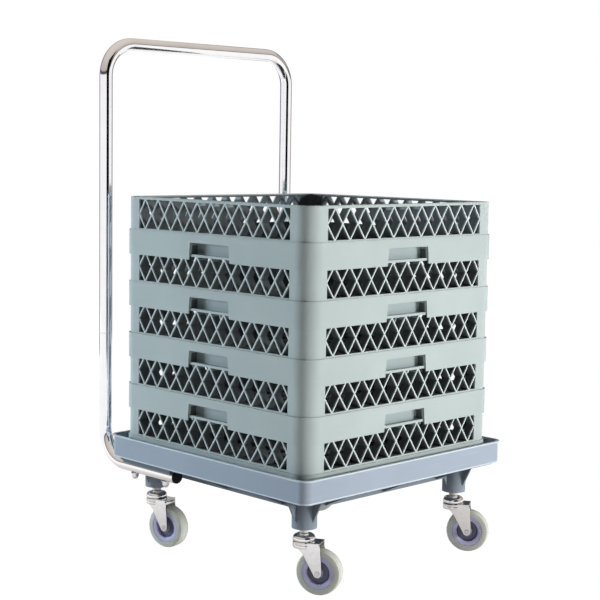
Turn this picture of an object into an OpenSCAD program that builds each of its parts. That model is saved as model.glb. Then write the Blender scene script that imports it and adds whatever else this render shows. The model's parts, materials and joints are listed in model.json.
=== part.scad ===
// Dish rack trolley: a moulded wheeled tray with a bent tube handle and a stack of five lattice-walled racks.
// +Z is up and the floor is z = 0. The handle stands on the +Y side.
// The origin is under the middle of the whole trolley.

/* [Racks] */
// outside width of the square racks, measured at the skirt
rack_side = 500; // [440:1:540]
// whole height of one rack
rack_height = 107.6; // [95:0.1:130]
// height of the solid skirt up to its step
skirt_height = 46.5; // [38:0.5:56]
// how far a skirt reaches down over the rack below
rack_overlap = 9.9; // [6:0.1:16]
// outside radius of the rack corners
rack_corner = 33; // [20:1:50]
// thickness of the rack's walls, ribs and bars
rack_wall = 2.4; // [1.8:0.1:3.2]
// depth of the lattice walls, from outside to inside
lattice_depth = 18; // [12:0.5:24]
// how far the lattice bars stand back from the faces of the wall
bar_inset = 0.4; // [0.2:0.1:1]
// width of the plain corner beside each lattice window
corner_post = 47.7; // [38:0.1:60]
// number of diamonds along one side
diamonds = 11; // [7:1:15]
// height of the rim above the lattice
rim_height = 4.5; // [3:0.1:8]
// depth of the rim
rim_depth = 6; // [4:0.5:10]
// gap between a skirt and the rim inside it
nest_gap = 0.6; // [0.3:0.1:1]
// width of the hand notch at its top
notch_width = 104; // [80:1:130]
// height of the hand notch
notch_height = 31; // [24:0.5:34]
// depth of the floor grid
grid_depth = 10; // [6:0.5:14]
// number of cells along the floor grid
grid_cells = 12; // [8:1:16]

/* [Tray] */
// how far the tray's lip stands out round the racks
tray_margin = 18; // [15:0.5:30]
// height of the tray's wall
tray_wall_height = 41.6; // [30:0.2:60]
// outside radius of the tray's corners
tray_corner = 18; // [10:1:30]
// thickness of the tray's walls
tray_wall = 3.2; // [2.4:0.1:4.5]
// how far the lip stands out from the wall
lip_width = 2.5; // [1:0.1:4]
// height of a caster boss, from its underside to the underside of the tray's floor
boss_height = 52.9; // [40:0.1:80]
// thickness of the tray's floor
floor_thick = 4; // [3:0.1:6]
// gap between the lowest rack and the pan that it stands in
pan_gap = 4; // [2:0.5:6]
// distance between the low ribs under the tray's floor
rib_spacing = 90; // [60:1:120]
// thickness of the ribs under the tray
rib_wall = 3; // [2:0.1:4]
// depth of the low ribs under the tray's floor
rib_depth = 8; // [5:0.5:12]
// depth of the four walls under the floor that run from boss to boss
beam_depth = 24.3; // [16:0.1:30]
// distance between the brackets that stand out from these walls
bracket_spacing = 150; // [120:1:160]
// length of the four ribs round each caster boss
gusset_length = 20.6; // [14:0.2:24]
// depth of the four ribs round each caster boss
gusset_depth = 41; // [30:0.5:48]
// how far the strip beside each leg reaches down
strip_depth = 5; // [3:0.1:8]
// radius of a caster boss
boss_radius = 22.2; // [18:0.1:24]
// gap between a caster boss and the leg beside it
boss_clearance = 1.8; // [1:0.1:8]

/* [Handle] */
// outside diameter of the handle tube
tube_diameter = 25; // [22:0.5:26]
// wall thickness of the handle tube
tube_wall = 1.5; // [1:0.1:2.5]
// distance from the pan's inner wall to the middle line of a leg
leg_inset = 15.5; // [13:0.1:19]
// height of the middle of the top bar over the ground
handle_height = 959.3; // [850:0.1:1050]
// gap between the tray's lip and the uprights
handle_gap = 36; // [28:0.5:60]
// middle radius of the tube's bends
bend_radius = 62; // [50:1:75]
// height of the seam between the hoop and its legs, over the tray's lip
seam_rise = 188.1; // [120:0.1:260]
// how far the inner sleeves reach into the tubes on each side of the seam
sleeve_reach = 40; // [25:1:60]
// distance from the pan's inner wall to the rear bolt of each leg
bolt_inset = 31.3; // [24:0.1:40]
// distance between the two bolts of each leg
bolt_spacing = 92.5; // [70:0.5:110]
// length of leg in front of its front bolt
leg_overhang = 32.4; // [20:0.2:50]
// radius of the bolts through the legs
bolt_r = 4; // [3:0.1:5]

/* [Casters] */
// diameter of the wheels
wheel_diameter = 80; // [70:1:88]
// width of the wheels
wheel_width = 24; // [20:0.5:28]
// thickness of the tyre from its tread to the hub
tyre_depth = 11; // [8:0.5:14]
// rounding of the tyre's shoulders
tyre_round = 3.5; // [2:0.1:5]
// width of the hub's outer ring
hub_ring = 8; // [6:0.5:10]
// gap between the wheel's top and the crown of its fork
wheel_gap = 10.5; // [8:0.1:20]
// distance from the swivel axis to the axle
trail = 29; // [20:0.5:34]
// height of the swivel head's upper race
race_height = 13.8; // [10:0.1:18]
// height of the spacer between the swivel head and the boss
spacer_height = 8.5; // [6:0.1:12]
// radius of the swivel head
head_radius = 20; // [17:0.1:21]
// depth of the fork's round skirt under its crown
skirt_depth = 12; // [9:0.5:14]
// thickness of the fork's plate
fork_plate = 2.5; // [2:0.1:3]
// how far the fork's cheeks and crown reach past the axle
fork_nose = 4; // [2:0.5:8]
// thickness of the fork's round skirt
skirt_wall = 2.2; // [1.6:0.1:3]
// depth of the hub's wells
well_depth = 7; // [4:0.5:8]
// gap between the wheel's side and the inside of the fork
side_gap = 2.2; // [1.4:0.1:4]
// radius of the round end of each fork cheek
cheek_end = 7.5; // [6.5:0.1:9]
// radius of the axle's bore in the fork
axle_r = 4; // [3:0.1:4.5]
// radius of the caster's stem
stem_r = 6; // [5:0.1:7]
// how far the stem reaches up into its boss
stem_reach = 40; // [25:0.5:50]
// directions in which the four casters trail, in degrees from +X
swivel_front_left = -62; // [-180:0.5:180]
swivel_front_right = -57; // [-180:0.5:180]
swivel_back_left = -76.5; // [-180:0.5:180]
swivel_back_right = -60; // [-180:0.5:180]

/* [Hidden] */
$fn = 48;
run_gap = 0.05;
seat_gap = 0.2;
tube_r = tube_diameter / 2;

// racks
rack_pitch = rack_height - rack_overlap;
skirt_half = rack_side / 2;
body_half = skirt_half - rack_wall - nest_gap;
body_corner = rack_corner - rack_wall - nest_gap;
inner_half = body_half - lattice_depth;
inner_corner = body_corner - lattice_depth;
window_width = rack_side - 2 * corner_post;
window_half = window_width / 2;
window_low = skirt_height + 3;
window_high = rack_height - rim_height;

// casters, from the ground up
axle_z = wheel_diameter / 2;
tyre_seat = axle_z - tyre_depth;
well_r = tyre_seat - hub_ring;
crown_under = wheel_diameter + wheel_gap;
crown_z = crown_under + fork_plate;
race_z = crown_z + 0.1;
spacer_z = race_z + race_height;
boss_bottom = spacer_z + spacer_height;
fork_inner = wheel_width / 2 + side_gap;
fork_outer = fork_inner + fork_plate;

// tray
tray_side = rack_side + 2 * tray_margin;
tray_half = tray_side / 2;
wall_half = tray_half - lip_width;
floor_under = boss_bottom + boss_height;
floor_top = floor_under + floor_thick;
pan_inner = rack_side / 2 + pan_gap;
pan_outer = pan_inner + tray_wall;
wall_bottom = floor_top + 1.5;
tray_top = wall_bottom + tray_wall_height;

// handle
leg_x = pan_inner - leg_inset;
leg_z = floor_under - tube_r - seat_gap;
handle_width = 2 * leg_x;
handle_reach = tray_half + handle_gap + tube_r;
handle_back = handle_reach + tube_r;
seam_height = tray_top + seam_rise;
bolt_back = pan_inner - bolt_inset;
bolt_front = bolt_back - bolt_spacing;
leg_end = bolt_front - leg_overhang;
washer_thick = 1.6;
nut_top = leg_z - tube_r - washer_thick;
boss_place = leg_x - tube_r - boss_clearance - boss_radius;
tray_y = -(handle_back - tray_half) / 2;

// square block with round corners, centred on its own z axis
module block(half, corner, low, high) {
  side = 2 * half;
  flat = side - 2 * corner;
  translate([-half, -flat / 2, low]) cube([side, flat, high - low]);
  translate([-flat / 2, -half, low]) cube([flat, side, high - low]);
  for (x = [-1, 1]) {
    for (y = [-1, 1]) {
      translate([x * flat / 2, y * flat / 2, low]) cylinder(r = corner, h = high - low);
    }
  }
}

module ring(half, corner, wall, low, high) {
  difference() {
    block(half, corner, low, high);
    block(half - wall, max(corner - wall, 1), low - 1, high + 1);
  }
}

// box between two corner points
module span(a, b) {
  translate(a) cube(b - a);
}

// diagonal bars of one lattice window on the -Y side, whose outer crossings lie just inside the frame
module lattice() {
  bite = rack_wall * 0.3;
  period = (window_width + 2 * bite) / diamonds;
  tall = window_high - window_low + 2 * bite;
  middle = (window_high + window_low) / 2;
  lean = atan2(period, tall);
  reach = sqrt(period * period + tall * tall) + 12;
  deep = lattice_depth - 2 * bar_inset;
  intersection() {
    span([-window_half - 1, -body_half, window_low - 1], [window_half + 1, -inner_half, window_high + 1]);
    union() {
      for (k = [0 : diamonds]) {
        for (s = [-1, 1]) {
          translate([k * period - window_half - bite, bar_inset - body_half, middle])
            rotate([0, s * lean, 0])
              translate([-rack_wall / 2, 0, -reach / 2]) cube([rack_wall, deep, reach]);
        }
      }
    }
  }
}

// outline of the hand notch, wider at the bottom, grown on its sides and top
module notch_outline(bottom, grown) {
  lower = notch_width / 2 + 3 + grown;
  upper = notch_width / 2 + grown;
  polygon([[-lower, bottom], [lower, bottom], [upper, notch_height + grown], [-upper, notch_height + grown]]);
}

// everything of a rack's wall that is cut away on one side
module side_cuts() {
  span([-window_half, -body_half - 1, window_low], [window_half, 1 - inner_half, window_high]);
  translate([0, -inner_half - rack_wall, 0]) rotate([90, 0, 0]) {
    linear_extrude(lattice_depth + 10) notch_outline(-1, 0);
  }
}

// walls round the hand notch, between the skirt and the inner wall
module notch_box() {
  translate([0, -inner_half - rack_wall / 2, 0]) rotate([90, 0, 0]) {
    linear_extrude(lattice_depth + nest_gap) {
      difference() {
        notch_outline(rack_overlap, rack_wall);
        notch_outline(-1, 0);
      }
    }
  }
}

// solid bands and walls that go all round a rack
module rack_bands() {
  half_wall = rack_wall / 2;
  web = lattice_depth + nest_gap;
  ring(skirt_half, rack_corner, rack_wall, 0, skirt_height);
  low = rack_overlap;
  ring(skirt_half - half_wall, rack_corner - half_wall, web + half_wall, low, low + rack_wall);
  ring(inner_half + rack_wall, inner_corner + rack_wall, rack_wall, rack_overlap, rack_height);
  ring(skirt_half, rack_corner, web + rack_wall, skirt_height - rack_wall, skirt_height);
  ring(body_half, body_corner, lattice_depth, skirt_height - 1, window_low);
  ring(body_half, body_corner, rack_wall, skirt_height, rack_height);
  ring(body_half, body_corner, rim_depth, window_high, rack_height);
}

// ribs of the floor grid
module floor_grid() {
  cell = 2 * inner_half / grid_cells;
  top = rack_overlap + grid_depth;
  for (k = [1 : grid_cells - 1]) {
    low = k * cell - inner_half - rack_wall / 2;
    span([low, -inner_half - 1, rack_overlap], [low + rack_wall, inner_half + 1, top]);
    span([-inner_half - 1, low, rack_overlap], [inner_half + 1, low + rack_wall, top]);
  }
}

module rack() {
  difference() {
    rack_bands();
    for (a = [0 : 90 : 270]) {
      rotate([0, 0, a]) side_cuts();
    }
    block(inner_half, inner_corner, window_low, rack_height + 1);
  }
  for (a = [0 : 90 : 270]) {
    rotate([0, 0, a]) {
      lattice();
      notch_box();
      for (x = [-window_half - rack_wall, window_half]) {
        span([x, 1 - body_half, window_low - 1], [x + rack_wall, -inner_half, rack_height]);
      }
    }
  }
  floor_grid();
}

module rack_at(level) {
  color([0.56, 0.62, 0.62]) translate([0, tray_y, floor_top + level * rack_pitch]) rack();
}

module rack_1() {
  rack_at(0);
}

module rack_2() {
  rack_at(1);
}

module rack_3() {
  rack_at(2);
}

module rack_4() {
  rack_at(3);
}

module rack_5() {
  rack_at(4);
}

// upright triangular rib that starts at a distance from the z axis and rises to the floor
module gusset(start, length, depth, wall) {
  base = start - 2;
  end = start + length;
  low = floor_under - depth;
  top = floor_top - 1;
  rotate([90, 0, 0]) {
    linear_extrude(wall, center = true) {
      polygon([[base, low], [start, low], [end, floor_under], [end, top], [base, top]]);
    }
  }
}

// one caster boss with its ribs, at the corner given by the two signs
module boss(sx, sy) {
  translate([sx * boss_place, sy * boss_place, 0]) {
    translate([0, 0, boss_bottom]) cylinder(r = boss_radius, h = floor_under + 1 - boss_bottom);
    for (a = [0 : 90 : 270]) {
      beside_leg = sy > 0 && abs(cos(a) - sx) < 0.1;
      if (!beside_leg) rotate([0, 0, a]) gusset(boss_radius, gusset_length, gusset_depth, rib_wall + 0.6);
    }
  }
}

// wall under the floor from boss to boss, with the brackets that stand out from it, on the +X side
module beam(brackets) {
  low = floor_under - beam_depth;
  face = boss_place + rib_wall / 2;
  span([face - rib_wall, -boss_place, low], [face, boss_place, floor_under + 1]);
  for (k = brackets) {
    translate([face, k * bracket_spacing, 0]) gusset(0.6, pan_inner - face - 2, beam_depth - 2, rib_wall);
  }
}

// places of the bolts through the legs, in the tray's own frame
module at_leg_bolts() {
  for (x = [-leg_x, leg_x]) {
    for (y = [bolt_back, bolt_front]) {
      translate([x, y, 0]) children();
    }
  }
}

// stiffening ribs under the tray's floor
module floor_ribs() {
  low = floor_under - rib_depth;
  reach = boss_place;
  for (k = [-1 : 1]) {
    x = k * rib_spacing;
    span([x - rib_wall / 2, -reach, low], [x + rib_wall / 2, reach, floor_under + 1]);
    span([-reach, x - rib_wall / 2, low], [reach, x + rib_wall / 2, floor_under + 1]);
  }
}

module dolly_tray() {
  color([0.52, 0.57, 0.62]) translate([0, tray_y, 0]) difference() {
    union() {
      ring(wall_half, tray_corner, tray_wall, wall_bottom, tray_top);
      ring(tray_half, tray_corner + lip_width, lip_width + tray_wall / 2, tray_top - 3, tray_top);
      ring(wall_half, tray_corner, wall_half - pan_inner, wall_bottom, wall_bottom + tray_wall);
      ring(pan_outer, tray_corner - 4, tray_wall, floor_top - 2.4, wall_bottom + 1);
      block(pan_outer - 1, tray_corner - 5, floor_top - 2, floor_top);
      block(pan_inner - 4, tray_corner - 6, floor_under, floor_top - 0.5);
      for (x = [-1, 1]) {
        for (y = [-1, 1]) {
          boss(x, y);
        }
      }
      floor_ribs();
      for (a = [90, 270]) {
        rotate([0, 0, a]) beam([-1, 0, 1]);
      }
      beam([-1, 0]);
      mirror([1, 0, 0]) beam([-1, 0]);
      for (x = [-pan_inner - tray_wall / 2, pan_inner + tray_wall / 2]) {
        span([x - 1.2, leg_end, floor_under - strip_depth],
          [x + 1.2, pan_inner - tray_corner, floor_top - 1]);
      }
    }
    at_leg_bolts() translate([0, 0, floor_under - 1]) cylinder(r = bolt_r + 0.25, h = floor_thick + 2);
    for (x = [-boss_place, boss_place]) {
      for (y = [-boss_place, boss_place]) {
        translate([x, y, boss_bottom - 1]) cylinder(r = stem_r, h = stem_reach + 1);
      }
    }
  }
}

// quarter bend of the tube in the YZ plane, from a run along Y up to an upright
module bend(r_in, r_out) {
  rotate_extrude(angle = 90) translate([bend_radius, 0]) difference() {
    circle(r = r_out);
    if (r_in > 0) circle(r = r_in);
  }
}

module tube(length) {
  difference() {
    cylinder(r = tube_r, h = length);
    translate([0, 0, -1]) cylinder(r = tube_r - tube_wall, h = length + 2);
  }
}

module handle_hoop() {
  top = handle_height - bend_radius;
  inner = tube_r - tube_wall;
  side = leg_x - bend_radius;
  color([0.85, 0.86, 0.88]) translate([0, tray_y + handle_reach, 0]) {
    translate([-leg_x, 0, seam_height]) tube(top - seam_height);
    translate([leg_x, 0, seam_height]) tube(top - seam_height);
    translate([-side, 0, handle_height]) rotate([0, 90, 0]) tube(2 * side);
    translate([side, 0, top]) rotate([90, 0, 0]) bend(inner, tube_r);
    translate([-side, 0, top]) rotate([0, 0, 180]) rotate([90, 0, 0]) bend(inner, tube_r);
  }
}

// lower part of the handle: an upright, a bend and a run under the tray
module leg(x) {
  run = handle_reach - bend_radius - leg_end;
  bend_z = leg_z + bend_radius;
  color([0.85, 0.86, 0.88]) translate([x, tray_y, 0]) difference() {
    union() {
      translate([0, handle_reach, bend_z]) tube(seam_height - bend_z);
      translate([0, leg_end, leg_z]) rotate([-90, 0, 0]) tube(run);
      translate([0, handle_reach - bend_radius, bend_z]) rotate([90, 0, 90]) rotate([0, 0, -90])
        bend(tube_r - tube_wall, tube_r);
    }
    for (y = [bolt_back, bolt_front]) {
      translate([0, y, leg_z - tube_r - 1]) cylinder(r = bolt_r + 0.25, h = 2 * tube_r + 2);
    }
  }
}

module handle_leg_left() {
  leg(-leg_x);
}

module handle_leg_right() {
  leg(leg_x);
}

// short inner sleeves that join the hoop to its legs
module handle_spigots() {
  color([0.7, 0.71, 0.73]) for (x = [-1, 1]) {
    translate([x * leg_x, tray_y + handle_reach, seam_height - sleeve_reach]) {
      difference() {
        cylinder(r = tube_r - tube_wall, h = 2 * sleeve_reach);
        translate([0, 0, -1]) cylinder(r = tube_r - 2 * tube_wall, h = 2 * sleeve_reach + 2);
      }
    }
  }
}

module leg_plugs() {
  color([0.05, 0.05, 0.05]) for (x = [-1, 1]) {
    translate([x * leg_x, tray_y + leg_end, leg_z]) rotate([90, 0, 0]) {
      cylinder(r = tube_r, h = 3);
      translate([0, 0, -14]) cylinder(r = tube_r - tube_wall, h = 14.5);
    }
  }
}

// bolts with low round heads on the tray's floor, which reach down through the legs
module leg_bolts() {
  low = leg_z - tube_r - 9;
  color([0.75, 0.76, 0.78]) translate([0, tray_y, 0]) at_leg_bolts() {
    translate([0, 0, low]) cylinder(r = bolt_r, h = floor_top - low + 1);
    translate([0, 0, floor_top]) rotate_extrude() {
      intersection() {
        translate([0, -16]) circle(r = 19.5, $fn = 64);
        square([2 * bolt_r, 4]);
      }
    }
  }
}

module leg_washers() {
  color([0.8, 0.81, 0.83]) translate([0, tray_y, 0]) at_leg_bolts() {
    translate([0, 0, nut_top]) difference() {
      cylinder(r = bolt_r + 4.2, h = washer_thick);
      translate([0, 0, -1]) cylinder(r = bolt_r + 0.25, h = washer_thick + 2);
    }
  }
}

// dome nuts under the legs
module leg_nuts() {
  color([0.8, 0.81, 0.83]) translate([0, tray_y, 0]) at_leg_bolts() {
    difference() {
      union() {
        translate([0, 0, nut_top - 5.5]) cylinder(r = bolt_r + 3.5, h = 5.5, $fn = 6);
        translate([0, 0, nut_top - 5.5]) sphere(r = bolt_r + 2);
      }
      translate([0, 0, leg_z - tube_r - 9]) cylinder(r = bolt_r, h = 12);
      translate([-10, -10, nut_top]) cube([20, 20, 12]);
    }
  }
}

// the four caster places: number, then x and y signs, then swivel direction
function caster_x(k) = (k % 2 == 0 ? -1 : 1) * boss_place;
function caster_y(k) = (k < 2 ? -1 : 1) * boss_place + tray_y;
function caster_turn(k) = [swivel_front_left, swivel_front_right, swivel_back_left, swivel_back_right][k];

module at_caster(k) {
  translate([caster_x(k), caster_y(k), 0]) rotate([0, 0, caster_turn(k)]) children();
}

module caster_spacers() {
  color([0.84, 0.8, 0.74]) for (k = [0 : 3]) {
    at_caster(k) rotate_extrude() {
      polygon([[stem_r, spacer_z], [stem_r + 1.5, spacer_z], [stem_r + 4.8, boss_bottom],
        [stem_r, boss_bottom]]);
    }
  }
}

// stem, upper race and the riveted end that carries the fork
module stem(k) {
  r = head_radius;
  h = race_height;
  neck = stem_r - run_gap;
  under = crown_under - 0.1;
  tip = boss_bottom + stem_reach;
  color([0.8, 0.81, 0.83]) at_caster(k) rotate_extrude()
    polygon([[0, under - 3], [stem_r + 2.5, under - 3], [stem_r + 2.5, under], [neck, under], [neck, race_z],
      [r - 0.6, race_z], [r, race_z + 0.12 * h], [r - 0.4, race_z + 0.38 * h], [r - 2.2, race_z + 0.6 * h],
      [r - 6, race_z + 0.8 * h], [stem_r + 3.5, race_z + 0.9 * h], [stem_r + 2, spacer_z], [stem_r, spacer_z],
      [stem_r, tip], [0, tip]]);
}

// outline of one fork cheek, wide at the crown and round at the axle
module cheek() {
  e = cheek_end;
  polygon([[4.8 - head_radius, crown_z], [trail + fork_nose, crown_z], [trail + e, axle_z],
    [trail, axle_z - e / 2], [trail - 0.88 * e, axle_z - 0.48 * e]]);
  translate([trail, axle_z]) circle(r = e);
}

module fork(k) {
  low = crown_z - skirt_depth;
  r = head_radius;
  inside = r - skirt_wall;
  color([0.8, 0.81, 0.83]) at_caster(k) difference() {
    union() {
      span([-4, -fork_outer, crown_under], [trail + fork_nose, fork_outer, crown_z]);
      translate([0, 0, crown_under]) cylinder(r = r, h = fork_plate);
      rotate_extrude()
        polygon([[inside, low], [r - 1, low], [r, low + 5], [r, crown_z - 1], [inside, crown_z - 1]]);
      for (y = [-fork_inner, fork_outer]) {
        translate([0, y, 0]) rotate([90, 0, 0]) linear_extrude(fork_plate) cheek();
      }
    }
    translate([0, 0, crown_under - 1]) cylinder(r = stem_r, h = fork_plate + 2);
    translate([trail, fork_outer + 5, axle_z]) rotate([90, 0, 0]) cylinder(r = axle_r, h = 2 * fork_outer + 10);
  }
}

// axle with a low rivet head on the side away from its nut
module axle(k) {
  color([0.75, 0.76, 0.78]) at_caster(k) translate([trail, 0, axle_z]) rotate([90, 0, 0]) {
    translate([0, 0, -fork_outer - 5]) cylinder(r = axle_r - run_gap, h = 2 * fork_outer + 5);
    translate([0, 0, fork_outer]) cylinder(r1 = axle_r + 1, r2 = axle_r, h = 1.2);
  }
}

module axle_nut(k) {
  color([0.8, 0.81, 0.83]) at_caster(k) translate([trail, fork_outer, axle_z]) rotate([-90, 0, 0]) {
    difference() {
      cylinder(r = axle_r + 2.6, h = 4.6, $fn = 6);
      translate([0, 0, -1]) cylinder(r = axle_r - run_gap, h = 8);
    }
  }
}

// wheel hub, drawn from its middle out to one face and mirrored
module hub(k) {
  w = wheel_width / 2;
  end = fork_inner - 0.15;
  well = w - well_depth;
  color([0.68, 0.67, 0.78]) at_caster(k) translate([trail, 0, axle_z]) rotate([90, 0, 0]) rotate_extrude()
    polygon([[axle_r, -end], [axle_r + 5, -end], [axle_r + 5.6, 4 - w], [axle_r + 7, -well],
      [well_r - 1, -well], [well_r, 1.6 - w], [tyre_seat, 0.8 - w], [tyre_seat, w - 0.8], [well_r, w - 1.6],
      [well_r - 1, well], [axle_r + 7, well], [axle_r + 5.6, w - 4], [axle_r + 5, end], [axle_r, end]]);
}

module tyre(k) {
  w = wheel_width / 2;
  r = axle_z;
  t = tyre_round;
  color([0.6, 0.61, 0.56]) at_caster(k) translate([trail, 0, axle_z]) rotate([90, 0, 0]) rotate_extrude()
    polygon([[tyre_seat, -w], [r - t, -w], [r - 0.3 * t, 0.7 * t - w], [r, 1.7 * t - w],
      [r, w - 1.7 * t], [r - 0.3 * t, w - 0.7 * t], [r - t, w], [tyre_seat, w]]);
}

module stem_front_left() {
  stem(0);
}

module stem_front_right() {
  stem(1);
}

module stem_back_left() {
  stem(2);
}

module stem_back_right() {
  stem(3);
}

module fork_front_left() {
  fork(0);
}

module fork_front_right() {
  fork(1);
}

module fork_back_left() {
  fork(2);
}

module fork_back_right() {
  fork(3);
}

module axle_front_left() {
  axle(0);
}

module axle_front_right() {
  axle(1);
}

module axle_back_left() {
  axle(2);
}

module axle_back_right() {
  axle(3);
}

module axle_nut_front_left() {
  axle_nut(0);
}

module axle_nut_front_right() {
  axle_nut(1);
}

module axle_nut_back_left() {
  axle_nut(2);
}

module axle_nut_back_right() {
  axle_nut(3);
}

module hub_front_left() {
  hub(0);
}

module hub_front_right() {
  hub(1);
}

module hub_back_left() {
  hub(2);
}

module hub_back_right() {
  hub(3);
}

module tyre_front_left() {
  tyre(0);
}

module tyre_front_right() {
  tyre(1);
}

module tyre_back_left() {
  tyre(2);
}

module tyre_back_right() {
  tyre(3);
}

dolly_tray();
handle_hoop();
handle_leg_left();
handle_leg_right();
handle_spigots();
leg_plugs();
leg_bolts();
leg_washers();
leg_nuts();
caster_spacers();
stem_front_left();
stem_front_right();
stem_back_left();
stem_back_right();
fork_front_left();
fork_front_right();
fork_back_left();
fork_back_right();
axle_front_left();
axle_front_right();
axle_back_left();
axle_back_right();
axle_nut_front_left();
axle_nut_front_right();
axle_nut_back_left();
axle_nut_back_right();
hub_front_left();
hub_front_right();
hub_back_left();
hub_back_right();
tyre_front_left();
tyre_front_right();
tyre_back_left();
tyre_back_right();
rack_1();
rack_2();
rack_3();
rack_4();
rack_5();
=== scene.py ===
import json
import math

import bmesh
import bpy
from mathutils import Matrix, Vector


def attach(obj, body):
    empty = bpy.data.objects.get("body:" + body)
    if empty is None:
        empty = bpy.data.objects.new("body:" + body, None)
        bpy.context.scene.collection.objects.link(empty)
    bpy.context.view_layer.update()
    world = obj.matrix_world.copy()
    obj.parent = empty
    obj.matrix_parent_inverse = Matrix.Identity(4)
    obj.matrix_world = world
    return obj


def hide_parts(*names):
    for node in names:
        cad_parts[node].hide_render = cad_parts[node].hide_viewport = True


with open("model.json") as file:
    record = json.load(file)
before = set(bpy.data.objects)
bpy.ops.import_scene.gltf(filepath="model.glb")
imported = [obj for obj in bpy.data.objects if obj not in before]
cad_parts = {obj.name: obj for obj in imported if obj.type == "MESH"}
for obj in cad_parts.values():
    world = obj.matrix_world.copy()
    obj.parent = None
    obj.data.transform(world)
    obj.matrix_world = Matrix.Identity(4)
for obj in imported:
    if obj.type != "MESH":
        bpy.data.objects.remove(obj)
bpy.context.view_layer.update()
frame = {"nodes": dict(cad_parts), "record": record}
casterPlaces = ("front_left", "front_right", "back_left", "back_right")

print("stage: camera")
view = {
    "place": (-1.89414, -1.92789, 0.76456),  # metres
    "heading": 45.378,  # degrees from +X, seen from above
    "tilt": 6.082,  # degrees down
    "roll": 0.900,
    "focal": 1419.96,  # in pixels of the frame
    "frame": 600,  # pixels across
    "sensor": 36,  # millimetres across
    "farthest": 20,  # metres
}


def makeCamera(values):
    heading, tilt, roll = (math.radians(values[key]) for key in ("heading", "tilt", "roll"))
    reach = math.cos(tilt)
    forward = Vector((math.cos(heading) * reach, math.sin(heading) * reach, -math.sin(tilt)))
    level = Vector((math.sin(heading), -math.cos(heading), 0))
    upright = level.cross(forward)
    across = level * math.cos(roll) + upright * math.sin(roll)
    upward = upright * math.cos(roll) - level * math.sin(roll)
    data = bpy.data.cameras.new("photoCamera")
    data.sensor_width = values["sensor"]
    data.lens = values["focal"] / values["frame"] * values["sensor"]
    data.clip_end = values["farthest"]
    camera = bpy.data.objects.new("photoCamera", data)
    bpy.context.scene.collection.objects.link(camera)
    turn = Matrix((across, upward, -forward)).transposed().to_4x4()
    camera.matrix_world = Matrix.Translation(values["place"]) @ turn
    bpy.context.scene.camera = camera


makeCamera(view)
bpy.context.scene.view_settings.view_transform = "Standard"

quarterTurn = math.pi / 2

print("stage: shader tools")


def nodeTree(name):
    material = bpy.data.materials.new(name)
    material.use_nodes = True
    tree = material.node_tree
    shader = tree.nodes["Principled BSDF"]
    return material, tree, shader


def place(tree, kind, **values):
    node = tree.nodes.new(kind)
    for key, value in values.items():
        setattr(node, key, value)
    return node


def joinUp(tree, source, target):
    tree.links.new(source, target)


def newGroup(name, inputs, outputs):  # inputs with their socket types, outputs are plain values
    group = bpy.data.node_groups.new(name, "ShaderNodeTree")
    for label, kind in inputs:
        group.interface.new_socket(name=label, in_out="INPUT", socket_type=kind)
    for label in outputs:
        group.interface.new_socket(name=label, in_out="OUTPUT", socket_type="NodeSocketFloat")
    return group, group.nodes.new("NodeGroupInput"), group.nodes.new("NodeGroupOutput")


def mapRange(tree, source, fromLow, fromHigh, toLow, toHigh):
    node = place(tree, "ShaderNodeMapRange")
    joinUp(tree, source, node.inputs["Value"])
    labels = ("From Min", "From Max", "To Min", "To Max")
    for label, value in zip(labels, (fromLow, fromHigh, toLow, toHigh)):
        node.inputs[label].default_value = value
    return node.outputs["Result"]


def mixShaders(tree, mask, first, second):
    mix = place(tree, "ShaderNodeMixShader")
    for socket, source in zip(mix.inputs, (mask, first, second)):
        joinUp(tree, source, socket)
    return mix.outputs["Shader"]


position = ("Position", "NodeSocketVector")
mouldedLook = {
    "grainDetail": 2, "cloudDetail": 4, "scuffDetail": 6,
    "scuffScale": (14, 14, 160),  # scuffs run level round a piece
    "scuffBand": (0.58, 0.72),  # noise levels where a scuff begins and is full
    "cloudBand": (0.35, 0.65), "grainBand": (0.3, 0.7),
    "bumpDepth": 0.0002,  # metres
    "ior": 1.47,
    "sheen": 0.5,  # where a finish names none
}
metalLook = {
    "lineDetail": 3, "spotDetail": 5, "spotBand": (0.4, 0.7), "lineBand": (0.3, 0.7),
    "bumpDepth": 0.0001,  # metres
}


def makeMouldedSkin(values):
    group, given, out = newGroup(
        "mouldedSkin",
        (position, ("Grain Size", "NodeSocketFloat"), ("Cloud Size", "NodeSocketFloat")),
        ("Grain", "Cloud", "Scuffs"),
    )
    grain = place(group, "ShaderNodeTexNoise")
    grain.inputs["Detail"].default_value = values["grainDetail"]
    joinUp(group, given.outputs["Position"], grain.inputs["Vector"])
    joinUp(group, given.outputs["Grain Size"], grain.inputs["Scale"])
    cloud = place(group, "ShaderNodeTexNoise")
    cloud.inputs["Detail"].default_value = values["cloudDetail"]
    joinUp(group, given.outputs["Position"], cloud.inputs["Vector"])
    joinUp(group, given.outputs["Cloud Size"], cloud.inputs["Scale"])
    stretch = place(group, "ShaderNodeMapping")
    stretch.inputs["Scale"].default_value = values["scuffScale"]
    joinUp(group, given.outputs["Position"], stretch.inputs["Vector"])
    scuff = place(group, "ShaderNodeTexNoise")
    scuff.inputs["Scale"].default_value = 1.0
    scuff.inputs["Detail"].default_value = values["scuffDetail"]
    joinUp(group, stretch.outputs["Vector"], scuff.inputs["Vector"])
    joinUp(group, grain.outputs["Fac"], out.inputs["Grain"])
    joinUp(group, cloud.outputs["Fac"], out.inputs["Cloud"])
    scuffed = mapRange(group, scuff.outputs["Fac"], *values["scuffBand"], 0.0, 1.0)
    joinUp(group, scuffed, out.inputs["Scuffs"])
    return group


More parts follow.
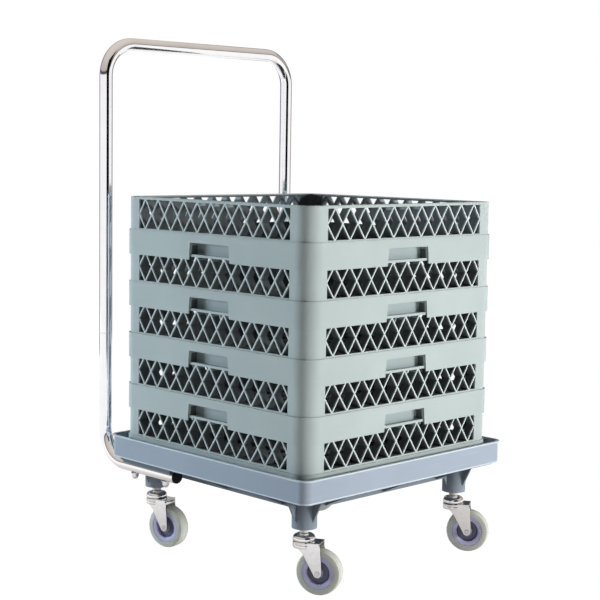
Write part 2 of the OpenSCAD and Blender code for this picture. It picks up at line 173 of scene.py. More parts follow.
def makeMetalMarks(values):
    group, given, out = newGroup(
        "metalMarks",
        (position, ("Line Size", "NodeSocketVector"), ("Spot Size", "NodeSocketFloat")),
        ("Lines", "Spots"),
    )
    stretch = place(group, "ShaderNodeMapping")
    joinUp(group, given.outputs["Position"], stretch.inputs["Vector"])
    joinUp(group, given.outputs["Line Size"], stretch.inputs["Scale"])
    lines = place(group, "ShaderNodeTexNoise")
    lines.inputs["Scale"].default_value = 1.0
    lines.inputs["Detail"].default_value = values["lineDetail"]
    joinUp(group, stretch.outputs["Vector"], lines.inputs["Vector"])
    spots = place(group, "ShaderNodeTexNoise")
    spots.inputs["Detail"].default_value = values["spotDetail"]
    joinUp(group, given.outputs["Position"], spots.inputs["Vector"])
    joinUp(group, given.outputs["Spot Size"], spots.inputs["Scale"])
    joinUp(group, lines.outputs["Fac"], out.inputs["Lines"])
    joinUp(group, spots.outputs["Fac"], out.inputs["Spots"])
    return group


rackPaintedLightBounds = {  # metres; distances out from the stack's middle, and heights over the ground, for the racks' painted shade and painted highlights
    "middleY": -0.0305,
    "cornerStart": 0.217,  # where the rounding of the corners begins
    "deep": 0.2425, "front": 0.2450,  # the painted shade inside is full at the first and gone at the second
    "top": 0.6692, "floorTop": 0.1723, "pitch": 0.0977,
    "strandLow": 0.2454, "strandFace": 0.24685, "strandWidth": 0.2150,  # painted highlight on the lattice fronts
    # the hand notches: their recessed panels get a painted shade of their own
    "notchWidth": 0.0525, "notchDeep": 0.2305, "notchHeight": 0.032,
}


def worker(group):  # gives a function that adds one Math node
    def work(operation, first, second=None):
        node = place(group, "ShaderNodeMath", operation=operation)
        for socket, value in zip(node.inputs, (first, second)):
            if isinstance(value, bpy.types.NodeSocket):
                joinUp(group, value, socket)
            elif value is not None:
                socket.default_value = value
        return node.outputs["Value"]

    return work


def squareReach(group, given, work, values):  # how far out a point lies, on squares with round corners
    apart = place(group, "ShaderNodeSeparateXYZ")
    joinUp(group, given.outputs["Position"], apart.inputs["Vector"])
    across = work("ABSOLUTE", apart.outputs["X"])
    along = work("ABSOLUTE", work("SUBTRACT", apart.outputs["Y"], values["middleY"]))
    corner = values["cornerStart"]
    beyond = [work("MAXIMUM", work("SUBTRACT", side, corner), 0.0) for side in (across, along)]
    reach = work("SQRT", work("ADD", *[work("MULTIPLY", side, side) for side in beyond]))
    return apart.outputs["Z"], (across, along), work("ADD", reach, corner)


# painted shade on the racks' inside and in the hand notches' recesses, painted highlight on the lattice
# fronts
def makeRackPaintedLightMask(values):
    group, given, out = newGroup("insideMask", (position,), ("Inside", "RecessShade", "StrandHighlight"))
    work = worker(group)
    height, sides, outward = squareReach(group, given, work, values)
    sideways = work("MINIMUM", *sides)
    pitches = work("DIVIDE", work("SUBTRACT", height, values["floorTop"]), values["pitch"])
    level = work("MULTIPLY", work("FRACT", pitches), values["pitch"])
    narrow = work("LESS_THAN", sideways, values["notchWidth"])
    notch = work("MULTIPLY", narrow, work("GREATER_THAN", outward, values["notchDeep"]))
    notch = work("MULTIPLY", notch, work("LESS_THAN", level, values["notchHeight"]))
    deep = mapRange(group, outward, values["deep"], values["front"], 1.0, 0.0)
    below = work("LESS_THAN", height, values["top"])
    inside = work("MULTIPLY", work("MULTIPLY", deep, below), work("SUBTRACT", 1.0, notch))
    joinUp(group, inside, out.inputs["Inside"])
    joinUp(group, work("MULTIPLY", notch, deep), out.inputs["RecessShade"])
    beyond = work("GREATER_THAN", outward, values["strandLow"])
    strandHighlight = work("MULTIPLY", beyond, work("LESS_THAN", outward, values["strandFace"]))
    strandHighlight = work("MULTIPLY", strandHighlight, work("LESS_THAN", sideways, values["strandWidth"]))
    joinUp(group, work("MULTIPLY", strandHighlight, below), out.inputs["StrandHighlight"])
    return group


trayPaintedLightBounds = {  # metres, as above: the painted highlights on the wall's two edges and the painted shade on the underside
    "middleY": -0.0305, "cornerStart": 0.250, "wallFace": 0.2625,
    "wallLow": 0.1737, "lineHigh": 0.1762, "lipLow": 0.2128, "shadeLow": 0.118,
    "shadeStart": 0.4,  # how dark the painted shade on the underside is at shadeLow, of 1 at wallLow
}


# painted shade under the tray's wall, darkest next to the wall, and painted highlights on the wall's
# lower edge and the lip
def makeTrayPaintedLightMask(values):
    group, given, out = newGroup("trayPaintedLightMask", (position,), ("UnderShade", "EdgeHighlight"))
    work = worker(group)
    height, _, outward = squareReach(group, given, work, values)
    shade = mapRange(group, height, values["shadeLow"], values["wallLow"], values["shadeStart"], 1.0)
    under = work("MULTIPLY", shade, work("LESS_THAN", height, values["wallLow"]))
    joinUp(group, under, out.inputs["UnderShade"])
    # painted highlight: a line along the wall's lower edge and the lip at the top
    above = work("GREATER_THAN", height, values["wallLow"])
    line = work("MULTIPLY", above, work("LESS_THAN", height, values["lineHigh"]))
    edge = work("MAXIMUM", line, work("GREATER_THAN", height, values["lipLow"]))
    edge = work("MULTIPLY", edge, work("GREATER_THAN", outward, values["wallFace"]))
    joinUp(group, edge, out.inputs["EdgeHighlight"])
    return group


mouldedSkin = makeMouldedSkin(mouldedLook)
trayPaintedLightMask = makeTrayPaintedLightMask(trayPaintedLightBounds)
insideMask = makeRackPaintedLightMask(rackPaintedLightBounds)
metalMarks = makeMetalMarks(metalLook)


def blendColours(tree, mask, first, second):
    mix = place(tree, "ShaderNodeMix", data_type="RGBA")
    joinUp(tree, mask, mix.inputs["Factor"])
    for label, colour in (("A", first), ("B", second)):
        socket = next(s for s in mix.inputs if s.name == label and s.type == "RGBA")
        if isinstance(colour, bpy.types.NodeSocket):
            joinUp(tree, colour, socket)
        else:
            socket.default_value = (*colour, 1)
    return next(s for s in mix.outputs if s.type == "RGBA")


def plasticMaterial(name, values):
    material, tree, shader = nodeTree(name)
    where = place(tree, "ShaderNodeTexCoord")
    skin = place(tree, "ShaderNodeGroup", node_tree=mouldedSkin)
    joinUp(tree, where.outputs["Object"], skin.inputs["Position"])
    skin.inputs["Grain Size"].default_value = values["grainSize"]
    skin.inputs["Cloud Size"].default_value = values["cloudSize"]
    cloudMask = mapRange(tree, skin.outputs["Cloud"], *mouldedLook["cloudBand"], 0.0, 1.0)
    tone = blendColours(tree, cloudMask, values["colour"], values["shade"])
    scuffMask = mapRange(tree, skin.outputs["Scuffs"], 0.0, 1.0, 0.0, values["scuffs"])
    tone = blendColours(tree, scuffMask, tone, values["worn"])
    # painted shade on the racks' inside and in the notch recesses, painted highlight on the lattice
    # fronts
    if "inside" in values:
        depth = place(tree, "ShaderNodeGroup", node_tree=insideMask)
        joinUp(tree, where.outputs["Object"], depth.inputs["Position"])
        tone = blendColours(tree, depth.outputs["RecessShade"], tone, values["recessShade"])
        tone = blendColours(tree, depth.outputs["StrandHighlight"], tone, values["strandHighlight"])
        tone = blendColours(tree, depth.outputs["Inside"], tone, values["inside"])
    # painted shade under the tray's wall, painted highlights on its lower edge and lip
    if "under" in values:
        paintedTrayLight = place(tree, "ShaderNodeGroup", node_tree=trayPaintedLightMask)
        joinUp(tree, where.outputs["Object"], paintedTrayLight.inputs["Position"])
        tone = blendColours(tree, paintedTrayLight.outputs["UnderShade"], tone, values["under"])
        tone = blendColours(tree, paintedTrayLight.outputs["EdgeHighlight"], tone, values["paintedTrayLight"])
    joinUp(tree, tone, shader.inputs["Base Color"])
    rough = mapRange(tree, skin.outputs["Grain"], *mouldedLook["grainBand"], *values["roughness"])
    joinUp(tree, rough, shader.inputs["Roughness"])
    bump = place(tree, "ShaderNodeBump")
    bump.inputs["Strength"].default_value = values["bump"]
    bump.inputs["Distance"].default_value = mouldedLook["bumpDepth"]
    joinUp(tree, skin.outputs["Grain"], bump.inputs["Height"])
    joinUp(tree, bump.outputs["Normal"], shader.inputs["Normal"])
    shader.inputs["IOR"].default_value = mouldedLook["ior"]
    shader.inputs["Specular IOR Level"].default_value = values.get("sheen", mouldedLook["sheen"])
    return material


def metalMaterial(name, values):
    material, tree, shader = nodeTree(name)
    where = place(tree, "ShaderNodeTexCoord")
    marks = place(tree, "ShaderNodeGroup", node_tree=metalMarks)
    joinUp(tree, where.outputs["Object"], marks.inputs["Position"])
    marks.inputs["Line Size"].default_value = values["lines"]
    marks.inputs["Spot Size"].default_value = values["spots"]
    spotMask = mapRange(tree, marks.outputs["Spots"], *metalLook["spotBand"], 0.0, 1.0)
    tone = blendColours(tree, spotMask, values["colour"], values["shade"])
    joinUp(tree, tone, shader.inputs["Base Color"])
    rough = mapRange(tree, marks.outputs["Lines"], *metalLook["lineBand"], *values["roughness"])
    joinUp(tree, rough, shader.inputs["Roughness"])
    bump = place(tree, "ShaderNodeBump")
    bump.inputs["Strength"].default_value = values["bump"]
    bump.inputs["Distance"].default_value = metalLook["bumpDepth"]
    joinUp(tree, marks.outputs["Lines"], bump.inputs["Height"])
    joinUp(tree, bump.outputs["Normal"], shader.inputs["Normal"])
    shader.inputs["Metallic"].default_value = 1
    return material


print("stage: finishes")
finishes = {
    "rackPlastic": plasticMaterial("rackPlastic", {
        "colour": (0.44, 0.49, 0.475), "shade": (0.41, 0.46, 0.45),
        "worn": (0.48, 0.53, 0.52), "scuffs": 0.25,
        "grainSize": 700, "cloudSize": 7, "roughness": (0.36, 0.50), "bump": 0.10, "sheen": 0.14,
        # painted shade on the inside and in the notch recesses, painted highlight on the lattice fronts
        "inside": (0.115, 0.128, 0.134), "recessShade": (0.33, 0.38, 0.385), "strandHighlight": (0.58, 0.63, 0.63)}),
    "trayPlastic": plasticMaterial("trayPlastic", {
        "colour": (0.34, 0.385, 0.445), "shade": (0.315, 0.36, 0.42),
        "worn": (0.40, 0.44, 0.50), "scuffs": 0.3,
        "grainSize": 600, "cloudSize": 6, "roughness": (0.34, 0.48), "bump": 0.10, "sheen": 0.22,
        # painted shade under the wall, painted highlight on the wall's lower edge and lip
        "under": (0.100, 0.115, 0.135), "paintedTrayLight": (0.56, 0.61, 0.66)}),
    "blackPlastic": plasticMaterial("blackPlastic", {
        "colour": (0.012, 0.012, 0.013), "shade": (0.018, 0.018, 0.019),
        "worn": (0.04, 0.04, 0.04), "scuffs": 0.2,
        "grainSize": 1500, "cloudSize": 40, "roughness": (0.42, 0.58), "bump": 0.12, "sheen": 0.1}),
    "spacerNylon": plasticMaterial("spacerNylon", {
        "colour": (0.76, 0.71, 0.64), "shade": (0.71, 0.66, 0.59),
        "worn": (0.80, 0.76, 0.70), "scuffs": 0.2,
        "grainSize": 1200, "cloudSize": 60, "roughness": (0.40, 0.52), "bump": 0.08}),
    "hubPlastic": plasticMaterial("hubPlastic", {
        "colour": (0.60, 0.58, 0.80), "shade": (0.55, 0.53, 0.75),
        "worn": (0.68, 0.67, 0.82), "scuffs": 0.25,
        "grainSize": 1200, "cloudSize": 50, "roughness": (0.38, 0.50), "bump": 0.10}),
    # darker than the hub ring: partly a darker plastic, partly painted shade in the well
    "wellShadedPlastic": plasticMaterial("wellShadedPlastic", {
        "colour": (0.16, 0.155, 0.23), "shade": (0.13, 0.125, 0.19),
        "worn": (0.24, 0.23, 0.32), "scuffs": 0.25,
        "grainSize": 1200, "cloudSize": 50, "roughness": (0.40, 0.52), "bump": 0.10}),
    "sleevePlastic": plasticMaterial("sleevePlastic", {
        "colour": (0.30, 0.29, 0.38), "shade": (0.26, 0.25, 0.33),
        "worn": (0.36, 0.35, 0.44), "scuffs": 0.25,
        "grainSize": 1200, "cloudSize": 50, "roughness": (0.40, 0.52), "bump": 0.10}),
    "tyreRubber": plasticMaterial("tyreRubber", {
        "colour": (0.63, 0.63, 0.56), "shade": (0.58, 0.58, 0.51),
        "worn": (0.46, 0.46, 0.42), "scuffs": 0.35,
        "grainSize": 1400, "cloudSize": 45, "roughness": (0.60, 0.78), "bump": 0.22}),
    "chromeTube": metalMaterial("chromeTube", {
        "colour": (0.93, 0.92, 0.93), "shade": (0.88, 0.87, 0.89),
        "lines": (700, 700, 12), "spots": 35, "roughness": (0.05, 0.11), "bump": 0.02}),
    "plainSteel": metalMaterial("plainSteel", {
        "colour": (0.55, 0.55, 0.57), "shade": (0.46, 0.46, 0.48),
        "lines": (900, 900, 40), "spots": 90, "roughness": (0.28, 0.42), "bump": 0.06}),
    "zincPressing": metalMaterial("zincPressing", {
        "colour": (0.78, 0.80, 0.83), "shade": (0.68, 0.71, 0.74),
        "lines": (260, 260, 700), "spots": 140, "roughness": (0.14, 0.27), "bump": 0.05}),
    "brightZinc": metalMaterial("brightZinc", {
        "colour": (0.95, 0.96, 0.98), "shade": (0.88, 0.90, 0.93),
        "lines": (260, 260, 700), "spots": 140, "roughness": (0.10, 0.20), "bump": 0.04}),
    "zincFastener": metalMaterial("zincFastener", {
        "colour": (0.76, 0.77, 0.80), "shade": (0.66, 0.67, 0.70),
        "lines": (500, 500, 500), "spots": 240, "roughness": (0.16, 0.30), "bump": 0.06}),
}
finishOfSlot = {
    "rack_plastic": "rackPlastic", "tray_plastic": "trayPlastic", "chrome_tube": "chromeTube",
    "plain_steel": "plainSteel", "black_plastic": "blackPlastic", "zinc_fastener": "zincFastener",
    "zinc_pressing": "zincPressing", "spacer_nylon": "spacerNylon", "hub_plastic": "hubPlastic",
    "tyre_rubber": "tyreRubber",
}
slotOfNode = {row["node"]: row["material_slot"] for row in frame["record"]["subparts"]}
for nodeName, nodeObject in frame["nodes"].items():
    nodeObject.data.materials.clear()
    nodeObject.data.materials.append(finishes[finishOfSlot[slotOfNode[nodeName]]])

print("stage: softened edges")
softEdges = {  # bevel width in metres, and segments
    "dolly_tray": (0.0008, 2), "leg_nuts": (0.0005, 2), "leg_bolts": (0.0005, 2),
    "leg_washers": (0.0003, 2), "caster_spacers": (0.0005, 2), "axle": (0.0006, 2),
    "axle_nut": (0.0005, 2),
}
edgeLook = {
    "merge": 1e-6,  # metres, corners closer than this become one
    "flat": 0.2,  # degrees, faces that turn less than this become one
    "crease": 35,  # degrees, sharper edges stay crisp
    "bevelFrom": 38,  # degrees, sharper edges are softened
    "segments": 3,
}


def mergedCopy(name):
    mesh = frame["nodes"][name].data.copy()
    form = bmesh.new()
    form.from_mesh(mesh)
    bmesh.ops.remove_doubles(form, verts=form.verts, dist=edgeLook["merge"])
    flat = math.radians(edgeLook["flat"])
    bmesh.ops.dissolve_limit(form, angle_limit=flat, verts=form.verts, edges=form.edges)
    for edge in form.edges:
        edge.smooth = edge.calc_face_angle(0) < math.radians(edgeLook["crease"])
    for face in form.faces:
        face.smooth = True
    form.to_mesh(mesh)
    form.free()
    normals = mesh.attributes.get("custom_normal")
    if normals is not None:
        mesh.attributes.remove(normals)
    piece = bpy.data.objects.new(name + "_soft", mesh)
    bpy.context.scene.collection.objects.link(piece)
    return piece


def softEdge(piece, width, segments=edgeLook["segments"]):
    bevel = piece.modifiers.new("softEdge", "BEVEL")
    bevel.width = width
    bevel.segments = segments
    bevel.limit_method = "ANGLE"
    bevel.angle_limit = math.radians(edgeLook["bevelFrom"])
    bevel.harden_normals = True
    return bevel


def softened(name, body, width, segments):
    piece = mergedCopy(name)
    softEdge(piece, width, segments).miter_outer = "MITER_ARC"
    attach(piece, body)
    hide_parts(name)


nodesOfBody = frame["record"]["behaviour"]["bodies"]
bodyOfNode = {node: body for body, nodes in nodesOfBody.items() for node in nodes}
for nodeName in frame["nodes"]:
    kind = nodeName
    for casterPlace in casterPlaces:
        kind = kind.removesuffix("_" + casterPlace)
    if kind in softEdges:
        softened(nodeName, bodyOfNode[nodeName], *softEdges[kind])

print("stage: piece tools")


def newPiece(name, form, finish, body, node, creases=edgeLook["crease"]):
    bmesh.ops.remove_doubles(form, verts=form.verts, dist=edgeLook["merge"])
    bmesh.ops.recalc_face_normals(form, faces=form.faces)
    mesh = bpy.data.meshes.new(name)
    form.to_mesh(mesh)
    form.free()
    mesh.materials.append(finishes[finish])
    mesh.shade_smooth()
    mesh.set_sharp_from_angle(angle=math.radians(creases))
    piece = bpy.data.objects.new(name, mesh)
    bpy.context.scene.collection.objects.link(piece)
    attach(piece, body)
    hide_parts(node)
    return piece


def newCorners(made):
    return [item for item in made if isinstance(item, bmesh.types.BMVert)]


def turned(form, profile, steps, where, closed=True):  # the profile is (radius, height)
    known = set(form.verts)
    start = [form.verts.new((radius, 0, height)) for radius, height in profile]
    rim = [form.edges.new(pair) for pair in zip(start, start[1:])]
    if closed:
        rim.append(form.edges.new((start[-1], start[0])))
    bmesh.ops.spin(
        form, geom=start + rim, cent=(0, 0, 0), axis=(0, 0, 1), dvec=(0, 0, 0),
        angle=math.tau, steps=steps, use_merge=True,
    )
    fresh = [vert for vert in form.verts if vert not in known]
    bmesh.ops.transform(form, matrix=where, verts=fresh)


def plate(form, outline, thick, where):
    corners = [form.verts.new((x, 0, z)) for x, z in outline]
    face = form.faces.new(corners)
    made = bmesh.ops.extrude_face_region(form, geom=[face], use_keep_orig=True)
    fresh = newCorners(made["geom"])
    bmesh.ops.translate(form, verts=fresh, vec=(0, thick, 0))
    bmesh.ops.transform(form, matrix=where, verts=corners + fresh)


def rimOf(made):
    fresh = set(newCorners(made))
    edges = [item for item in made if isinstance(item, bmesh.types.BMEdge)]
    return [edge for edge in edges if all(vert in fresh for vert in edge.verts)]


def startTube(form, radius, sides, where, facing):
    turn = Vector(facing).to_track_quat("Z", "Y").to_matrix().to_4x4()
    spot = Matrix.Translation(where) @ turn
    made = bmesh.ops.create_circle(form, segments=sides, radius=radius, matrix=spot)
    return list({edge for vert in made["verts"] for edge in vert.link_edges})


def runStraight(form, rim, offset):
    made = bmesh.ops.extrude_edge_only(form, edges=rim)["geom"]
    bmesh.ops.translate(form, verts=newCorners(made), vec=offset)
    return rimOf(made)


def runBend(form, rim, centre, axis, steps):
    corners = list({vert for edge in rim for vert in edge.verts})
    made = bmesh.ops.spin(
        form, geom=corners + rim, cent=centre, axis=axis, dvec=(0, 0, 0),
        angle=quarterTurn, steps=steps,
    )
    return rimOf(made["geom_last"])


def closeEnds(form, *rims):
    for rim in rims:
        bmesh.ops.edgeloop_fill(form, edges=rim)


print("stage: handle")
handle = {  # metres
    "tubeRadius": 0.0125, "sides": 48, "bendRadius": 0.062, "bendSteps": 18,
    "halfWidth": 0.2385, "reach": 0.286, "topHeight": 0.9593, "seamHeight": 0.4035,
    "runHeight": 0.1556, "legFront": 0.0673, "edge": 0.0006,
}


def makeHoop(values):
    form = bmesh.new()
    half, bend, reach, steps = (values[key] for key in ("halfWidth", "bendRadius", "reach", "bendSteps"))
    bendHeight = values["topHeight"] - bend
    rise = bendHeight - values["seamHeight"]
    foot = (-half, reach, values["seamHeight"])
    first = startTube(form, values["tubeRadius"], values["sides"], foot, (0, 0, 1))
    rim = runStraight(form, first, (0, 0, rise))
    rim = runBend(form, rim, (bend - half, reach, bendHeight), (0, 1, 0), steps)
    rim = runStraight(form, rim, (2 * (half - bend), 0, 0))
    rim = runBend(form, rim, (half - bend, reach, bendHeight), (0, 1, 0), steps)
    rim = runStraight(form, rim, (0, 0, -rise))
    closeEnds(form, first, rim)
    piece = newPiece("hoopTube", form, "chromeTube", "dolly", "handle_hoop")
    softEdge(piece, values["edge"])


def makeLeg(name, side, node, values):
    form = bmesh.new()
    x, bend, reach = side * values["halfWidth"], values["bendRadius"], values["reach"]
    bendHeight = values["runHeight"] + bend
    top = (x, reach, values["seamHeight"])
    first = startTube(form, values["tubeRadius"], values["sides"], top, (0, 0, -1))
    rim = runStraight(form, first, (0, 0, bendHeight - values["seamHeight"]))
    rim = runBend(form, rim, (x, reach - bend, bendHeight), (-1, 0, 0), values["bendSteps"])
    rim = runStraight(form, rim, (0, values["legFront"] - reach + bend, 0))
    closeEnds(form, first, rim)
    piece = newPiece(name, form, "chromeTube", "dolly", node)
    softEdge(piece, values["edge"])


makeHoop(handle)
makeLeg("legTubeLeft", -1, "handle_leg_left", handle)
makeLeg("legTubeRight", 1, "handle_leg_right", handle)

plugs = {  # metres, as (radius, distance out from the tube's end)
    "steps": 48,
    "dome": ((0, 0.0030), (0.0070, 0.0029), (0.0105, 0.0025), (0.0120, 0.0017),
             (0.0125, 0.0006), (0.0125, 0), (0, 0)),
}


def makePlugs(values, tube):
    form = bmesh.new()
    for side in (-1, 1):
        middle = (side * tube["halfWidth"], tube["legFront"], tube["runHeight"])
        spot = Matrix.Translation(middle) @ Matrix.Rotation(quarterTurn, 4, "X")
        turned(form, values["dome"], values["steps"], spot, False)
    newPiece("plugCaps", form, "blackPlastic", "dolly", "leg_plugs")


makePlugs(plugs, handle)

print("stage: casters")
casters = {  # swivel axis in metres, and the turn of the trail in degrees
    "front_left": {"spot": (-0.202, -0.2325), "turn": -62.0},
    "front_right": {"spot": (0.202, -0.2325), "turn": -57.0},
    "back_left": {"spot": (-0.202, 0.1715), "turn": -76.5},
    "back_right": {"spot": (0.202, 0.1715), "turn": -60.0},
}
wheel = {  # millimetres, profiles as (radius, distance from the wheel's middle)
    "axleHeight": 40, "trail": 29, "steps": 96,
    "creases": 28,  # degrees
    "tyre": ((29, -12), (36.2, -12), (38.2, -11.2), (39.4, -9.4), (39.8, -7.6), (39.2, -7.1),
             (39.2, -6.5), (39.9, -6), (40, -2), (40, 2), (39.9, 6), (39.2, 6.5),
             (39.2, 7.1), (39.8, 7.6), (39.4, 9.4), (38.2, 11.2), (36.2, 12), (29, 12)),
    "ring": ((21.0, -10.6), (22.4, -11.0), (27.6, -11.6), (28.4, -11.5), (28.9, -11.2),
             (28.9, 11.2), (28.4, 11.5), (27.6, 11.6), (22.4, 11.0), (21.0, 10.6),
             (20.6, 9.8), (20.2, 5), (20.2, -5), (20.6, -9.8)),
    "well": ((4.2, -7.6), (12.0, -7.6), (13.0, -6.6), (17.8, -6.2), (18.6, -5.2), (20.3, -4.8),
             (20.3, 4.8), (18.6, 5.2), (17.8, 6.2), (13.0, 6.6), (12.0, 7.6), (4.2, 7.6)),
    "sleeve": ((4.0, -14.0), (8.6, -14.0), (9.0, -13.6), (9.4, -7.4), (9.4, 7.4),
               (9.0, 13.6), (8.6, 14.0), (4.0, 14.0)),
}


def metres(profile):
    return [(radius / 1000, height / 1000) for radius, height in profile]


def casterFrame(values):
    turn = Matrix.Rotation(math.radians(values["turn"]), 4, "Z")
    return Matrix.Translation((*values["spot"], 0)) @ turn


def wheelFrame(values):
    middle = Matrix.Translation((wheel["trail"] / 1000, 0, wheel["axleHeight"] / 1000))
    return casterFrame(values) @ middle @ Matrix.Rotation(quarterTurn, 4, "X")


def makeWheel(where, values):
    rows = (
        ("tyre", "tyreRubber", "tyre_rubber", "tyre_"),
        ("ring", "hubPlastic", "hub_plastic", "hub_"),
        ("well", "wellShadedPlastic", "hub_plastic", "hub_"),
        ("sleeve", "sleevePlastic", "hub_plastic", "hub_"),
    )
    body = "wheel_" + where
    for part, finish, slot, node in rows:
        form = bmesh.new()
        turned(form, metres(wheel[part]), wheel["steps"], wheelFrame(values))
        name = "wheel_" + part + "_" + where
        newPiece(name, form, finish, body, node + where, wheel["creases"])


swivel = {  # millimetres, profiles as (radius, height over the ground)
    "race": ((5.9, 93.3), (18.6, 93.3), (19.6, 93.9), (20.0, 95.2), (20.0, 97.6), (19.6, 99.6),
             (18.5, 101.6), (16.6, 103.3), (14.0, 104.6), (11.0, 105.4), (9.0, 105.8),
             (8.1, 106.9), (5.9, 106.9)),
    "rivet": ((0, 87.5), (6.6, 87.5), (8.3, 88.4), (8.4, 90.3), (0, 90.3)),
    "bowl": ((6.2, 90.6), (15.2, 90.6), (17.5, 89.6), (17.9, 87.6), (17.3, 84.2), (17.5, 81.2),
             (18.8, 81.1), (19.8, 82.6), (20.0, 85.4), (19.5, 86.8), (19.9, 88.2),
             (20.0, 91.0), (19.1, 92.6), (17.3, 93.0), (6.2, 93.0)),
    "steps": 72, "rivetSteps": 48,
    "rivetEdge": 0.0004,  # metres
    "creases": 30,  # degrees
}
fork = {  # millimetres, outlines as (distance along the trail, height over the ground)
    "inner": 14.2, "thick": 2.5,
    "edge": 0.0011,  # metres
    "cheek": ((-13.6, 89.5), (-11.6, 92.2), (-8.1, 93.0), (27.0, 93.0), (31.4, 91.6),
              (33.0, 88.0), (33.6, 79.0), (35.6, 60.0), (36.6, 43.5), (36.5, 40.0),
              (35.9, 37.1), (34.3, 34.7), (31.9, 33.1), (29.0, 32.5), (26.1, 33.1),
              (23.7, 34.7), (21.9, 37.4), (3.0, 71.5), (-4.4, 79.6), (-12.2, 84.2)),
    "bridge": ((-2.0, 90.5), (33.0, 90.5), (33.0, 93.0), (-2.0, 93.0)),
}


def makeSwivel(where, values):
    spot = casterFrame(values)
    node = "stem_" + where
    form = bmesh.new()
    turned(form, metres(swivel["race"]), swivel["steps"], spot)
    newPiece("race_" + where, form, "brightZinc", "dolly", node, swivel["creases"])
    form = bmesh.new()
    turned(form, metres(swivel["rivet"]), swivel["rivetSteps"], spot, False)
    piece = newPiece("rivet_" + where, form, "plainSteel", "dolly", node)
    softEdge(piece, swivel["rivetEdge"])


def makeFork(where, values):
    spot = casterFrame(values)
    node, body = "fork_" + where, "swivel_" + where
    inner, thick = fork["inner"] / 1000, fork["thick"] / 1000
    form = bmesh.new()
    for start in (-inner - thick, inner):
        plate(form, metres(fork["cheek"]), thick, spot @ Matrix.Translation((0, start, 0)))
    across = 2 * (fork["inner"] + fork["thick"]) / 1000
    plate(form, metres(fork["bridge"]), across, spot @ Matrix.Translation((0, -across / 2, 0)))
    piece = newPiece("fork_cheeks_" + where, form, "brightZinc", body, node)
    softEdge(piece, fork["edge"])
    form = bmesh.new()
    turned(form, metres(swivel["bowl"]), swivel["steps"], spot)
    newPiece("fork_bowl_" + where, form, "brightZinc", body, node, swivel["creases"])


for casterPlace, values in casters.items():
    makeWheel(casterPlace, values)
    makeSwivel(casterPlace, values)
    makeFork(casterPlace, values)

print("stage: floor and light")
floorLook = {
    "size": 12,  # metres from the middle to an edge
    "tone": (0.80, 0.80, 0.80), "roughness": 0.7,
    "glow": 1.06,
    "glowShare": 0.94,  # how much white stands in for the lit floor, seen directly or mirrored
    "nearShadowTone": (0.52, 0.475, 0.44),  # painted shadow of the trolley on the floor, which mirrored rays see close to the middle, in place of white
    "near": (0.30, 0.85),  # metres, the painted shadow is full at the first and gone at the second
}


def makeFloor(values):
    form = bmesh.new()
    bmesh.ops.create_grid(form, x_segments=1, y_segments=1, size=values["size"])
    mesh = bpy.data.meshes.new("floor")
    form.to_mesh(mesh)
    form.free()
    floor = bpy.data.objects.new("floor", mesh)
    bpy.context.scene.collection.objects.link(floor)
    material, tree, shader = nodeTree("paleFloor")
    shader.inputs["Base Color"].default_value = (*values["tone"], 1)
    shader.inputs["Roughness"].default_value = values["roughness"]
    glow = place(tree, "ShaderNodeEmission")
    glow.inputs["Strength"].default_value = values["glow"]
    ray = place(tree, "ShaderNodeLightPath")
    where = place(tree, "ShaderNodeTexCoord")
    away = place(tree, "ShaderNodeVectorMath", operation="LENGTH")
    joinUp(tree, where.outputs["Object"], away.inputs[0])
    farMask = mapRange(tree, away.outputs["Value"], *values["near"], 0.0, 1.0)
    mirroredShadowedFloor = blendColours(tree, farMask, values["nearShadowTone"], (1, 1, 1))
    tone = blendColours(tree, ray.outputs["Is Glossy Ray"], (1, 1, 1), mirroredShadowedFloor)
    joinUp(tree, tone, glow.inputs["Color"])
    work = worker(tree)
    seen = work("MAXIMUM", ray.outputs["Is Camera Ray"], ray.outputs["Is Glossy Ray"])
    share = work("MULTIPLY", seen, values["glowShare"])
    surface = mixShaders(tree, share, shader.outputs["BSDF"], glow.outputs["Emission"])
    joinUp(tree, surface, tree.nodes["Material Output"].inputs["Surface"])
    mesh.materials.append(material)


makeFloor(floorLook)

cardSpan = (0.01, 2.4)  # metres over the floor, foot and top of each card
cards = {  # upright cards that only mirrored rays see; azimuth in degrees, lengths in metres
    "darkCard": {"azimuth": 259, "away": 2.2, "width": 2.0, "colour": (0.004, 0.004, 0.006)},
    "lilacCard": {"azimuth": 88, "away": 2.6, "width": 2.4, "colour": (0.27, 0.26, 0.36)},
    "beigeCard": {"azimuth": 6, "away": 2.6, "width": 1.2, "colour": (0.34, 0.29, 0.24)},
    "slateCard": {"azimuth": 36, "away": 2.8, "width": 1.4, "colour": (0.06, 0.06, 0.07)},
}


def makeCard(name, values):
    turn = math.radians(values["azimuth"])
    middle = Vector((math.cos(turn), math.sin(turn), 0)) * values["away"]
    along = Vector((-math.sin(turn), math.cos(turn), 0)) * values["width"] / 2
    form = bmesh.new()
    foot, top = cardSpan
    spots = ((-1, foot), (1, foot), (1, top), (-1, top))
    corners = [middle + along * side + Vector((0, 0, height)) for side, height in spots]
    form.faces.new([form.verts.new(corner) for corner in corners])
    mesh = bpy.data.meshes.new(name)
    form.to_mesh(mesh)
    form.free()
    card = bpy.data.objects.new(name, mesh)
    bpy.context.scene.collection.objects.link(card)
    material, _, shader = nodeTree(name)
    shader.inputs["Base Color"].default_value = (0, 0, 0, 1)
    shader.inputs["Specular IOR Level"].default_value = 0
    shader.inputs["Emission Color"].default_value = (*values["colour"], 1)
    shader.inputs["Emission Strength"].default_value = 1
    mesh.materials.append(material)
    for kind in ("camera", "diffuse", "transmission", "volume_scatter", "shadow"):
        setattr(card, "visible_" + kind, False)


for cardName, values in cards.items():
    makeCard(cardName, values)

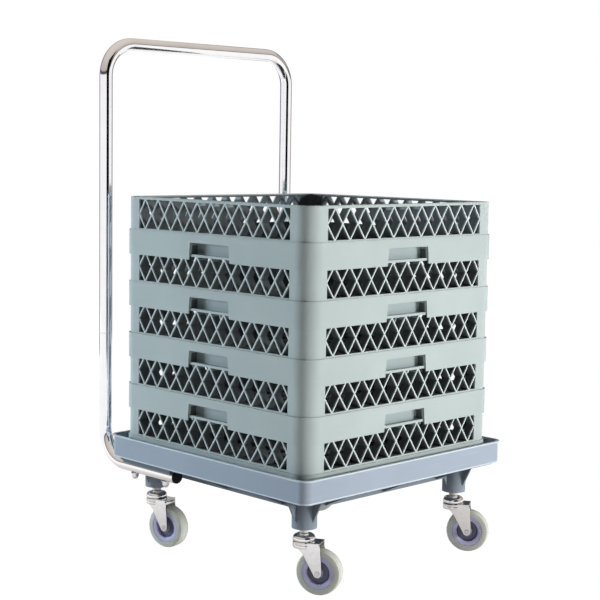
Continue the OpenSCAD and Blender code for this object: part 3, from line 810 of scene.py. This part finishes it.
lightRig = {  # metres and watts; mirrored rays don't see the lamps
    "left": {
        "place": (-2.52, 3.60, 0.95), "size": (1.6, 0.9), "aim": (0, 0, 0.36),
        "power": 205, "colour": (0.79, 0.92, 1.02)},
    "right": {
        "place": (2.00, -3.92, 0.95), "size": (1.2, 0.9), "aim": (0, 0, 0.36),
        "power": 196, "colour": (0.98, 1.0, 1.0)},
    "fill": {
        "place": (-0.95, -0.95, 0.04), "size": (1.2, 0.06), "aim": (0, 0, 0.04),
        "power": 0.9, "colour": (1.0, 1.0, 0.98)},
    "sideFill": {
        "place": (-0.10, -1.50, 0.05), "size": (0.9, 0.08), "aim": (0.1, 0, 0.05),
        "power": 2.0, "colour": (1.0, 1.0, 1.0)},
    "top": {
        "place": (0.0, 0.0, 2.9), "size": (1.2, 1.2), "aim": (0, 0, 0.36),
        "power": 13, "colour": (1.0, 1.0, 1.0)},
}
for label, values in lightRig.items():
    data = bpy.data.lights.new(label + "Light", "AREA")
    data.shape = "RECTANGLE"
    data.size, data.size_y = values["size"]
    data.energy = values["power"]
    data.color = values["colour"]
    lamp = bpy.data.objects.new(label + "Light", data)
    bpy.context.scene.collection.objects.link(lamp)
    lamp.visible_glossy = False
    lamp.location = values["place"]
    lamp.rotation_mode = "QUATERNION"
    facing = Vector(values["aim"]) - Vector(values["place"])
    lamp.rotation_quaternion = facing.to_track_quat("-Z", "Y")


worldLook = {
    "plain": (0.93, 0.96, 1.0), "plainStrength": 0.05,  # a faint light on the object, beside the lamps
    "white": (1, 1, 1), "whiteStrength": 1.0,  # what the camera sees, also through a piece
    "mirroredStrength": 1.0,
    "bands": (  # what mirrored rays see: 0 is straight down, 0.5 the horizon, 1 straight up
        (0.0, (1, 1, 1)), (0.550, (1, 1, 1)), (0.556, (0.05, 0.05, 0.06)),
        (0.590, (0.06, 0.06, 0.07)), (0.62, (0.52, 0.47, 0.42)), (1.0, (0.74, 0.68, 0.62))),
}


def background(tree, colour, strength):
    node = place(tree, "ShaderNodeBackground")
    node.inputs["Color"].default_value = (*colour, 1)
    node.inputs["Strength"].default_value = strength
    return node.outputs["Background"]


def makeWorld(values):
    world = bpy.data.worlds.new("studio")
    bpy.context.scene.world = world
    world.use_nodes = True
    tree = world.node_tree
    tree.nodes.clear()
    out = place(tree, "ShaderNodeOutputWorld")
    ray = place(tree, "ShaderNodeLightPath")
    plain = background(tree, values["plain"], values["plainStrength"])
    white = background(tree, values["white"], values["whiteStrength"])
    mirrored = background(tree, values["white"], values["mirroredStrength"])
    where = place(tree, "ShaderNodeTexCoord")
    apart = place(tree, "ShaderNodeSeparateXYZ")
    joinUp(tree, where.outputs["Generated"], apart.inputs["Vector"])
    ramp = place(tree, "ShaderNodeValToRGB")
    low, *between, high = values["bands"]
    for stop, (height, colour) in zip(ramp.color_ramp.elements, (low, high)):
        stop.position = height
        stop.color = (*colour, 1)
    for height, colour in between:
        ramp.color_ramp.elements.new(height).color = (*colour, 1)
    joinUp(tree, mapRange(tree, apart.outputs["Z"], -1.0, 1.0, 0.0, 1.0), ramp.inputs["Fac"])
    joinUp(tree, ramp.outputs["Color"], mirrored.node.inputs["Color"])
    away = mixShaders(tree, ray.outputs["Is Glossy Ray"], plain, mirrored)
    direct = worker(tree)("MAXIMUM", ray.outputs["Is Camera Ray"], ray.outputs["Is Transmission Ray"])
    joinUp(tree, mixShaders(tree, direct, away, white), out.inputs["Surface"])


makeWorld(worldLook)
